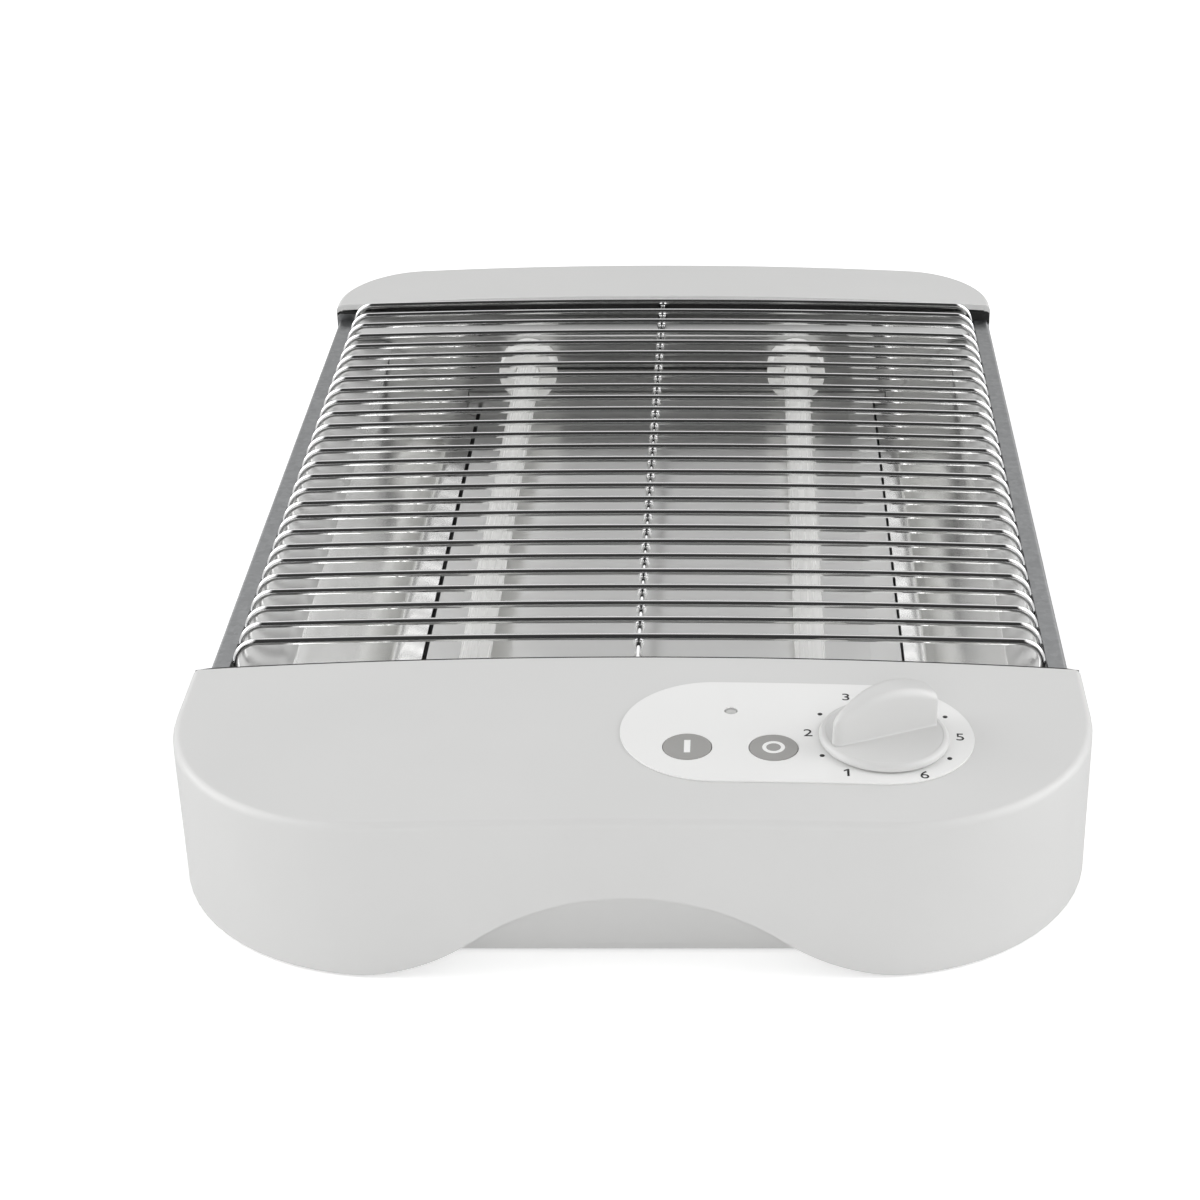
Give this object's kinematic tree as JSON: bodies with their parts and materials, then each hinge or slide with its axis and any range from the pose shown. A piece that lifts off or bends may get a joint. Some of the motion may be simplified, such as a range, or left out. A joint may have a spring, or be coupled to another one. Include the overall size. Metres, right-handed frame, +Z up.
{
  "type": "horizontal toaster",
  "caption": "Flat countertop toaster: plastic end caps, sheet-metal trough, wire grid over quartz heaters, timer knob, start and stop buttons and a sliding crumb tray.",
  "frame": {"origin": "middle of the footprint, on the surface that the toaster stands on", "axes": "+X to the right as seen from the control end, +Y from the control end to the back, +Z up"},
  "size_m": [0.246, 0.387, 0.0615],
  "materials": {
    "white_plastic": "satin off-white moulding",
    "panel_white": "white film",
    "button_grey": "satin grey",
    "galvanised": "galvanised sheet, spangled",
    "bright_steel": "bright rolled sheet",
    "chrome": "polished plating",
    "quartz": "frosted tube",
    "heater_alloy": "oxidised wire",
    "ceramic": "unglazed white",
    "zinc": "zinc plated",
    "insulation": "black sleeve",
    "led_epoxy": "clear tinted",
    "circuit_board": "solder resist",
    "black_plastic": "black moulding",
    "rubber": "matt black"
  },
  "bodies": {
    "chassis": {"front_cap": "white_plastic", "front_cover": "white_plastic", "rear_cap": "white_plastic", "bottom_plate": "galvanised", "side_panel_left": "galvanised", "side_panel_right": "galvanised", "reflector_left": "bright_steel", "reflector_right": "bright_steel", "front_bulkhead": "bright_steel", "rear_bulkhead": "bright_steel", "tray_rails": "galvanised", "grid_hoops": "chrome", "grid_rod": "chrome", "quartz_tube_left": "quartz", "quartz_tube_right": "quartz", "heater_coil_left": "heater_alloy", "heater_coil_right": "heater_alloy", "holders_front": "ceramic", "holders_rear": "ceramic", "heater_pins": "zinc", "link_wire": "insulation", "supply_leads": "insulation", "control_panel": "panel_white", "pilot_lens": "button_grey", "pilot_led": "led_epoxy", "control_board": "circuit_board", "timer_body": "black_plastic", "start_switch": "black_plastic", "stop_switch": "black_plastic", "power_board": "circuit_board", "power_relay": "black_plastic", "terminal_block": "black_plastic", "thermal_fuse": "zinc", "cord_gland": "black_plastic", "rubber_feet": "rubber", "base_screws": "zinc"},
    "knob": {"timer_knob": "white_plastic", "timer_shaft": "zinc"},
    "start": {"start_button": "button_grey"},
    "stop": {"stop_button": "button_grey"},
    "tray": {"crumb_tray": "bright_steel", "tray_pull": "white_plastic"}
  },
  "joints": [
    {"name": "timer_turn", "type": "hinge", "parent": "chassis", "child": "knob", "pos_m": [0.0661, -0.153, 0.0468], "axis": [0.0348, 0, 0.9994], "range_deg": [-86, 214]},
    {"name": "start_press", "type": "slide", "parent": "chassis", "child": "start", "axis": [0, 0, -1], "range_m": [0, 0.0015], "stiffness_N_per_m": 800},
    {"name": "stop_press", "type": "slide", "parent": "chassis", "child": "stop", "axis": [0, 0, -1], "range_m": [0, 0.0015], "stiffness_N_per_m": 800},
    {"name": "tray_slide", "type": "slide", "parent": "chassis", "child": "tray", "axis": [0, 1, 0], "range_m": [0, 0.21]}
  ]
}
